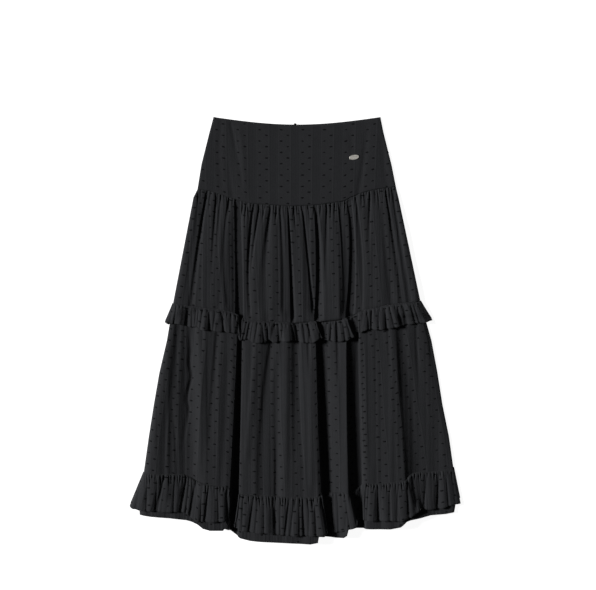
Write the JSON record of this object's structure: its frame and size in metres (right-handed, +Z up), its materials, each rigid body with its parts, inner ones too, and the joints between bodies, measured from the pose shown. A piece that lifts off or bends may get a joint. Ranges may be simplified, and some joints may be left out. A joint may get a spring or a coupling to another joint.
{
  "type": "tiered skirt laid flat",
  "caption": "Tiered A-line skirt lying flat on its back, with a fitted hip yoke, gathered tiers, ruffles at the tier seam and above the hem, and a small bare metal plate.",
  "frame": {"origin": "middle of the laid-out skirt's outline, on the surface it lies on", "axes": "+Y from the hem to the waist, +Z up, out of the skirt's front, +X to the right seen from above"},
  "size_m": [0.6606, 0.8499, 0.034],
  "materials": {
    "dotted_cotton": "matt woven cotton with small raised dots between fine ribs",
    "ruffle_cotton": "matt woven cotton, gathered",
    "zip_tape": "woven tape, closed",
    "hook_metal": "satin black",
    "plate_metal": "satin, bare"
  },
  "bodies": {
    "root": {"front_yoke": "dotted_cotton", "back_yoke_left": "dotted_cotton", "back_yoke_right": "dotted_cotton", "front_upper_tier": "dotted_cotton", "back_upper_tier": "dotted_cotton", "front_lower_tier": "dotted_cotton", "back_lower_tier": "dotted_cotton", "front_mid_ruffle": "ruffle_cotton", "back_mid_ruffle": "ruffle_cotton", "front_hem_ruffle": "ruffle_cotton", "back_hem_ruffle": "ruffle_cotton", "back_zip": "zip_tape", "waist_hook": "hook_metal", "hip_plate": "plate_metal"}
  },
  "joints": []
}
